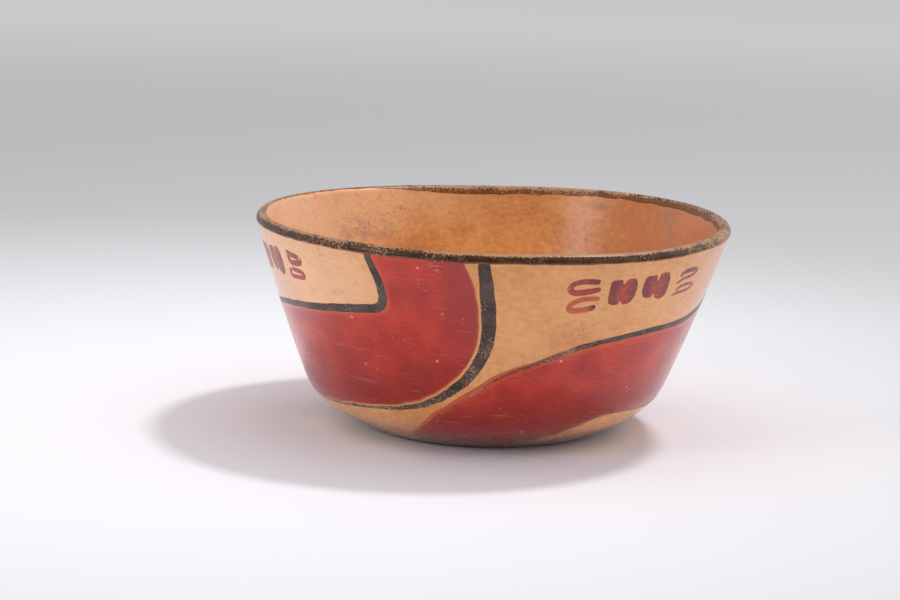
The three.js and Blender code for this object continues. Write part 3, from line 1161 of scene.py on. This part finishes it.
CREST = (
    (-28.0, 2.2), (-28.2, 5.0), (-27.9, 7.8), (-23.4, 11.7), (-18.2, 17.3), (-15.0, 22.0), (-10.2, 27.2),
    (-2.0, 36.6), (3.0, 42.6), (8.2, 46.8), (14.5, 50.8), (19.5, 54.2), (24.7, 57.1), (30.1, 59.4),
    (36.0, 61.0), (42.4, 62.4), (49.7, 63.9), (56.0, 65.2), (63.0, 66.5), (70.0, 67.8), (76.0, 69.1),
    (81.0, 70.4), (86.0, 71.7), (90.2, 72.8), (92.2, 73.5), (93.1, 75.0), (93.4, 78.3), (93.1, 82.0),
    (92.6, 86.0), (91.9, 90.0), (91.3, 94.0), (90.5, 99.4),
)
KEEL = (
    (10.5, 2.2), (14.5, 4.3), (18.9, 5.4), (22.6, 7.2), (25.7, 9.0), (27.9, 11.0), (30.6, 13.1),
    (33.5, 15.1), (36.3, 17.0), (39.8, 18.5), (43.9, 19.1), (48.5, 19.1), (54.2, 18.5), (60.0, 17.8),
    (66.0, 17.4), (72.4, 17.9), (80.0, 18.9), (88.4, 20.2), (94.0, 21.2), (99.2, 22.5), (102.8, 24.2),
    (105.9, 26.3), (109.0, 28.8), (111.7, 31.3), (116.3, 37.4), (119.0, 43.6), (121.2, 50.3),
    (122.6, 57.9), (122.8, 67.8), (122.4, 78.2), (121.5, 88.5), (120.5, 99.4),
)


@dataclass(frozen=True)
class Drop:
    """Where one figure's edge drops below the common drawing: its turn in degrees and depth in metres."""

    middle: float
    depth: float
    spread: float = 10.0


@dataclass
class RedFigure:
    """One painted figure: its red field, the dark line on its stepped crest and the one on its keel.

    Widths, gaps and wear are listed as (number of the crest's or keel's point, value), widths in
    millimetres.
    """

    outline: Outline
    number: int
    turn: float
    crest_drop: Drop
    keel_drop: Drop
    rows_per_point: int = 8
    step_start: int = 4
    step_widths: Places = (
        (4, 0.8), (7, 1.2), (9, 2.3), (11, 3.2), (14, 3.3), (18, 3.5), (21, 4.6), (24, 4.9), (28, 4.6),
        (31, 4.1),
    )
    step_insets: Places = ((4, 2.2), (7, 2.0), (9, 0.9), (10, 0.2), (12, 0.0), (31, 0.0))
    step_wear: Places = ((4, 0.6), (9, 0.5), (12, 0.3), (18, 0.1), (31, 0.0))
    step_stain: Places = ((4, 1.0), (9, 0.9), (12, 0.3), (14, 0.0), (31, 0.0))
    curl_widths: Places = (
        (0, 0.5), (3, 1.3), (12, 1.5), (15, 2.1), (17, 2.3), (19, 2.8), (21, 3.7), (24, 5.2), (29, 7.0),
        (30, 6.4), (31, 5.3),
    )
    curl_gaps: Places = (
        (0, -0.4), (12, -0.2), (14, 0.1), (17, 0.3), (20, 0.7), (25, 0.9), (29, 0.8), (30, 1.9), (31, 6.0),
    )
    curl_wear: Places = (
        (0, 0.5), (10, 0.6), (15, 0.8), (18, 0.6), (22, 0.5), (25, 0.4), (27, 0.1), (31, 0.0),
    )
    edge_wander: float = 0.2 * MM
    field_coat: Coat = Coat(lift=0.1 * MM, middle=26)
    line_coat: Coat = Coat(lift=0.14 * MM)

    def _edge(self, places: Places, drop: Drop, seed: int, reach: int) -> Array:
        """Draw an edge through its places, lowered where this figure's hand dropped.

        Args:
            places: Turn and height of the places.
            drop: Where the edge drops.
            seed: Which unsteadiness it has.
            reach: How many rows on each side smooth it.

        Returns:
            Turn and slope of the edge's points.
        """
        points = self.outline.spots(places, self.turn)
        degrees = np.array(places)[:, 0]
        points[:, 1] -= drop.depth * np.exp(-((degrees - drop.middle) / drop.spread) ** 2)
        shares = np.linspace(0, 1, self.rows_per_point * (len(places) - 1) + 1)
        path = settled(follow(points, shares), reach)
        return self.outline.shift(path, wander(shares, self.edge_wander, seed + 10 * self.number))

    @staticmethod
    def _ribbon(low: Array, high: Array, wear: Array, pool: Array, first: int = 0) -> Ribbon:
        """Ribbon between two edges, from the row where it starts."""
        return Ribbon(low[first:], high[first:], wear[first:], pool[first:], end_counts=False)

    def build(self) -> None:
        """Build the three coats of the figure."""
        crest = self._edge(CREST, self.crest_drop, 1, 4)
        keel = self._edge(KEEL, self.keel_drop, 2, 14)
        row = np.arange(len(crest)) / self.rows_per_point
        step_inset, step_width, curl_width, curl_gap = (
            settled(listed(places, row), 6) * MM
            for places in (self.step_insets, self.step_widths, self.curl_widths, self.curl_gaps)
        )
        none = np.zeros(len(row))
        under_step = step_width * 0.4 * rise(row, 9, 13)
        field = self._ribbon(
            self.outline.shift(keel, curl_width + curl_gap), self.outline.shift(crest, -under_step),
            none, rise(row, 12.5, 9),
        )
        start = self.step_start * self.rows_per_point
        opening = np.clip((row - self.step_start) / 1.5, 0.15, 1)
        step = self._ribbon(
            self.outline.shift(crest, -(step_inset + step_width * opening)),
            self.outline.shift(crest, -step_inset), listed(self.step_wear, row),
            listed(self.step_stain, row), start,
        )
        curl = self._ribbon(keel, self.outline.shift(keel, curl_width), listed(self.curl_wear, row), none)
        shift = 7.0 * self.number
        for name, ribbon, coat, slot, slip in (
            ("red_panel", field, self.field_coat, "red_slip", RED),
            ("step_line", step, self.line_coat, "dark_slip", DARK),
            ("curl_line", curl, self.line_coat, "dark_slip", DARK),
        ):
            node = f"{name}_{self.number}"
            coat.skin(self.outline, ribbon).make(node, slip.material(node, shift), slot, (node,))


@dataclass(frozen=True)
class Stroke:
    """A brush mark drawn as one stroke: places that its middle passes, its width at each and its tint."""

    name: str
    tint: MarkTint
    places: Places
    widths: tuple[float, ...]
    pool: Places
    rows: int = 64

    def ribbon(self, outline: Outline, turn: float) -> Ribbon:
        """Widen the path into a ribbon with round ends.

        Args:
            outline: The wall.
            turn: Angle by which the mark is carried round the bowl.

        Returns:
            The ribbon.
        """
        shares = 0.5 - 0.5 * np.cos(np.linspace(0, math.pi, self.rows))
        path = follow(outline.spots(self.places, turn), shares)
        width = np.interp(shares, np.linspace(0, 1, len(self.widths)), self.widths) * MM
        radius = outline.radius(path[:, 1])
        step = np.hypot(np.diff(path[:, 0]) * radius[1:], np.diff(path[:, 1]))
        along = np.concatenate([[0.0], np.cumsum(step)])
        to_end = np.clip(np.minimum(along, along[-1] - along) / (width / 2), 0.02, 1)
        width = width * np.sqrt(1 - (1 - to_end) ** 2)
        return Ribbon(
            outline.shift(path, -width / 2), outline.shift(path, width / 2), np.zeros(self.rows),
            listed(self.pool, shares),
        )


@dataclass(frozen=True)
class Block:
    """A block mark with a slit above and below: its lower and upper edge, from left to right."""

    name: str
    tint: MarkTint
    lower: Places
    upper: Places
    rows: int = 90

    def ribbon(self, outline: Outline, turn: float) -> Ribbon:
        """Make a ribbon that runs from the block's left side to its right side.

        Args:
            outline: The wall.
            turn: Angle by which the mark is carried round the bowl.

        Returns:
            The ribbon.
        """
        shares = 0.5 - 0.5 * np.cos(np.linspace(0, math.pi, self.rows))
        left, right = self.lower[0][0], self.lower[-1][0]
        across = left + (right - left) * shares
        low, high = (
            outline.spots(tuple(zip(across, listed(edge, across))), turn)
            for edge in (self.lower, self.upper)
        )
        pool = np.clip(0.35 + 0.35 * np.sin(shares * 9), 0, 1)
        return Ribbon(low, high, np.zeros(self.rows), pool)


UPPER_HOOK = Stroke(
    "upper_hook", MarkTint.PURPLE,
    ((26.3, 88.3), (24.0, 88.7), (22.0, 88.8), (20.2, 88.1), (19.2, 86.6), (19.2, 84.9), (20.3, 83.6),
     (22.2, 83.6), (24.4, 84.1), (26.8, 84.8)),
    (3.0, 3.2, 3.1, 3.0, 3.1, 3.1, 3.3, 3.5, 3.4, 2.7), ((0, 0.9), (0.12, 0.5), (0.3, 0.1), (1, 0.3)),
)
LOWER_HOOK = Stroke(
    "lower_hook", MarkTint.ORANGE,
    ((27.0, 79.9), (25.0, 80.4), (22.5, 80.1), (20.6, 78.8), (19.6, 77.0), (19.9, 75.2), (21.5, 74.6),
     (24.0, 75.2), (26.4, 76.3)),
    (2.8, 2.8, 2.9, 2.9, 2.9, 3.1, 3.3, 3.5, 3.3), ((0, 0.2), (0.2, 0), (0.88, 0), (0.95, 0.9), (1, 1)),
)
FIRST_BLOCK = Block(
    "first_block", MarkTint.PURPLE,
    ((29.0, 82.5), (29.2, 79.5), (29.5, 77.4), (30.8, 76.3), (32.1, 76.4), (32.6, 77.9), (33.0, 77.9),
     (33.4, 76.4), (34.8, 76.2), (36.0, 77.4), (36.6, 79.6), (36.9, 82.6)),
    ((29.0, 84.0), (29.1, 88.2), (29.5, 88.9), (32.0, 89.1), (32.4, 87.0), (32.9, 86.8), (33.2, 88.6),
     (34.0, 89.5), (35.6, 89.1), (36.4, 87.2), (36.9, 83.6)),
)
SECOND_BLOCK = Block(
    "second_block", MarkTint.PURPLE,
    ((38.3, 83.6), (38.7, 80.6), (39.6, 78.7), (41.0, 78.2), (42.1, 78.4), (42.4, 79.9), (42.7, 79.9),
     (43.2, 78.1), (44.6, 77.0), (45.9, 77.0), (46.9, 78.4), (47.3, 82.0)),
    ((38.3, 84.6), (38.6, 88.9), (39.1, 89.7), (41.9, 89.8), (42.4, 87.0), (42.9, 86.8), (43.0, 90.0),
     (44.4, 90.6), (45.9, 90.1), (46.8, 87.4), (47.3, 83.0)),
)
UPPER_LOOP = Stroke(
    "upper_loop", MarkTint.DULL,
    ((50.2, 83.2), (52.2, 84.8), (54.5, 85.5), (56.6, 86.0), (57.8, 87.2), (57.3, 88.5), (55.0, 88.9),
     (52.6, 88.6), (51.2, 87.5), (51.8, 86.2)),
    (1.3, 2.0, 2.1, 2.1, 2.2, 2.6, 3.0, 2.8, 2.2, 1.4), ((0, 0.3), (0.5, 0), (0.7, 0.6), (1, 0.2)),
)
LOWER_LOOP = Stroke(
    "lower_loop", MarkTint.DULL,
    ((49.9, 77.3), (51.6, 78.3), (54.5, 78.6), (57.4, 79.3), (58.5, 80.4), (57.3, 81.6), (54.6, 81.8),
     (52.4, 81.2), (51.4, 80.0), (52.0, 79.0)),
    (1.2, 1.8, 1.9, 1.9, 1.8, 1.9, 2.1, 2.0, 1.7, 1.1), ((0, 0.2), (1, 0)),
)
FILLED_LOOP = Stroke(
    "upper_loop", MarkTint.PURPLE,
    ((50.6, 89.9), (53.0, 89.0), (55.4, 88.5), (57.0, 87.3), (56.6, 85.8), (54.6, 85.2), (52.6, 85.0),
     (51.9, 85.7), (51.5, 87.2), (51.1, 88.8)),
    (2.4, 3.3, 3.4, 3.2, 3.2, 3.2, 3.1, 3.1, 3.2, 2.6), ((0, 0.5), (0.3, 0.1), (1, 0.2)),
)
SQUARE_LOOP = Stroke(
    "lower_loop", MarkTint.PURPLE,
    ((51.8, 81.8), (54.0, 81.7), (56.3, 81.5), (57.3, 80.4), (56.8, 79.0), (54.4, 78.5), (51.8, 78.3),
     (50.8, 79.2), (50.9, 80.9), (51.9, 81.9)),
    (2.2, 2.8, 2.8, 2.7, 2.7, 2.6, 2.5, 2.4, 2.4, 1.6), ((0, 0.3), (0.3, 0.0), (1, 0.1)),
)
FIRST_MARKS = (UPPER_HOOK, LOWER_HOOK, FIRST_BLOCK, SECOND_BLOCK)
MARKS = FIRST_MARKS + (UPPER_LOOP, LOWER_LOOP)
LAST_MARKS = FIRST_MARKS + (FILLED_LOOP, SQUARE_LOOP)


@dataclass
class MarkGroup:
    """The six brush marks in the tan field over one figure."""

    outline: Outline
    number: int
    turn: float
    marks: tuple[Stroke | Block, ...] = MARKS
    coat: Coat = Coat(lift=0.09 * MM)

    def build(self) -> None:
        """Build each mark of the group."""
        for mark in self.marks:
            node = f"{mark.name}_{self.number}"
            skin = self.coat.skin(self.outline, mark.ribbon(self.outline, self.turn))
            material = mark.tint.slip().material(node, 3.0 * self.number)
            skin.make(node, material, "mark_slip", (node,))


@dataclass(frozen=True)
class Studio:
    """Floor painted with light near the bowl, greying and clearing with distance; small key lamp, soft
    panel, surround.
    """

    # The floor's colours are painted light: palest near the bowl, grey further off, paler far away.
    near: Colour = linear(239, 238, 244)
    middle: Colour = linear(184, 184, 186)
    far: Colour = linear(220, 220, 222)
    painted_light_centre: Place = (-0.13, -0.02, 0.0)
    painted_dimming: tuple[float, float] = (0.0, 0.8)
    painted_brightening: tuple[float, float] = (1.0, 3.4)
    floor_radius: float = 9.0
    floor_turns: int = 96
    floor_rings: int = 24
    key_place: Place = (0.657, 0.395, 1.73)
    key_size: float = 0.22
    key_power: float = 15.2
    panel_place: Place = (-1.6, -1.0, 0.85)
    panel_size: float = 0.6
    panel_power: float = 6.7
    from_right: float = 1.45
    from_left: float = 0.98
    from_back: float = 0.4
    from_front: float = 0.1
    from_top: float = 0.85
    behind: float = 0.6

    @staticmethod
    def _lamp(name: str, place: Place, size: float, power: float) -> None:
        """Hang a round lamp that faces the bowl.

        Args:
            name: The lamp's name.
            place: Where it hangs.
            size: Its width.
            power: Its power in watts.
        """
        lamp = bpy.data.lights.new(name, "AREA")
        lamp.shape = "DISK"
        lamp.size = size
        lamp.energy = power
        facing = Vector(place).to_track_quat("Z", "Y").to_matrix().to_4x4()
        placed(name, lamp).matrix_world = Matrix.Translation(place) @ facing

    def _paper(self) -> bpy.types.Material:
        """Build the floor's finish: painted light that changes twice with the distance from its palest
        place.
        """
        graph = Graph(bpy.data.materials.new("studio_paper"))
        distance = Signal(graph, graph.vector("DISTANCE", graph.spot(), self.painted_light_centre, "Value"))
        colour = graph.blend(distance.step(*self.painted_dimming), self.near, self.middle)
        colour = graph.blend(distance.step(*self.painted_brightening), colour, self.far)
        shader = graph.node("ShaderNodeBsdfDiffuse", {}, {"Color": colour})
        graph.node("ShaderNodeOutputMaterial", {}, {"Surface": shader.outputs["BSDF"]})
        return graph.owner

    def _floor(self) -> None:
        """Lay a round floor: a middle disc and rings round it, each wider than the last."""
        turns = self.floor_turns
        radius = np.geomspace(0.2, self.floor_radius, self.floor_rings)[:, None]
        turn = np.linspace(0, 2 * math.pi, turns, endpoint=False)
        flat = np.broadcast_arrays(radius * np.sin(turn), -radius * np.cos(turn), 0.0)
        rings = band_faces(self.floor_rings, turns, False)[0][:, ::-1]
        mesh = bpy.data.meshes.new("studio_floor")
        points = np.stack(flat, -1).reshape(-1, 3).tolist()
        mesh.from_pydata(points, [], rings.tolist() + [list(range(turns))])
        mesh.materials.append(self._paper())
        placed("studio_floor", mesh)

    def _surround(self) -> None:
        """Light the bowl from all round: each side adds its strength times the squared cosine to it.

        Where the camera looks past the floor, it sees an even grey.
        """
        world = bpy.data.worlds.new("surround")
        graph = Graph(world)
        across, away, up = (graph.axis(name, "Generated") for name in "XYZ")
        sides = (
            (across | 0.0, self.from_right), (across * -1.0 | 0.0, self.from_left),
            (away | 0.0, self.from_back), (away * -1.0 | 0.0, self.from_front), (up | 0.0, self.from_top),
        )
        light = sum(cosine * cosine * strength for cosine, strength in sides)
        seen = graph.signal("ShaderNodeLightPath", {}, {}, "Is Camera Ray")
        strength = light + seen * (self.behind - light)
        sky = graph.node("ShaderNodeBackground", {}, {"Color": (1.0, 1.0, 1.0, 1.0), "Strength": strength})
        graph.node("ShaderNodeOutputWorld", {}, {"Surface": sky.outputs["Background"]})
        bpy.context.scene.world = world

    def build(self) -> None:
        """Build the floor, the lamps and the light from all round."""
        self._floor()
        self._lamp("key_lamp", self.key_place, self.key_size, self.key_power)
        self._lamp("left_panel", self.panel_place, self.panel_size, self.panel_power)
        self._surround()
        log.info("studio: floor, two lamps and surround")


@dataclass(frozen=True)
class Viewpoint:
    """Camera in front of the bowl and a little above it, aimed just under the lip."""

    lens: float = 96.0
    sensor: float = 36.0
    distance: float = 1.15402
    climb: float = math.radians(7.90)
    roll: float = 0.0321
    pitch: float = -0.03547
    yaw: float = -0.016207
    aim_height: float = 101.37 * MM

    def build(self) -> None:
        """Place the camera: it looks at the middle of the mouth, then rolls, and turns down and aside."""
        data = bpy.data.cameras.new("camera")
        data.lens = self.lens
        data.sensor_width = self.sensor
        camera = placed("camera", data)
        place = Vector((0, -math.cos(self.climb) * self.distance, math.sin(self.climb) * self.distance))
        place.z += self.aim_height
        camera.matrix_world = (
            Matrix.Translation(place) @ Matrix.Rotation(math.pi / 2 - self.climb, 4, "X")
            @ Matrix.Rotation(self.roll, 4, "Z") @ Matrix.Rotation(self.pitch, 4, "X")
            @ Matrix.Rotation(-self.yaw, 4, "Y")
        )
        bpy.context.scene.camera = camera


def main() -> None:
    """Build the bowl, its paint and the studio."""
    logging.basicConfig(level=logging.INFO, format="%(name)s: %(message)s", force=True)
    Viewpoint().build()
    Studio().build()
    outline = Outline(BowlForm())
    FiredClay(outline).build()
    RimBand(outline).build()
    drops = (
        (Drop(64, 3.0 * MM, 15), Drop(60, 0.0)),
        (Drop(60, 0.8 * MM), Drop(50, 1.0 * MM)),
        (Drop(60, 0.0), Drop(51, 2.8 * MM)),
    )
    groups = ((0.0, MARKS), (4.8, MARKS), (11.2, LAST_MARKS))
    for index, ((crest_drop, keel_drop), (degrees, marks)) in enumerate(zip(drops, groups)):
        turn = index * REPEAT
        RedFigure(outline, index + 1, turn, crest_drop, keel_drop).build()
        MarkGroup(outline, index + 1, turn + math.radians(degrees), marks).build()
    bpy.context.scene.view_settings.view_transform = "Standard"


if __name__ == "__main__":
    main()
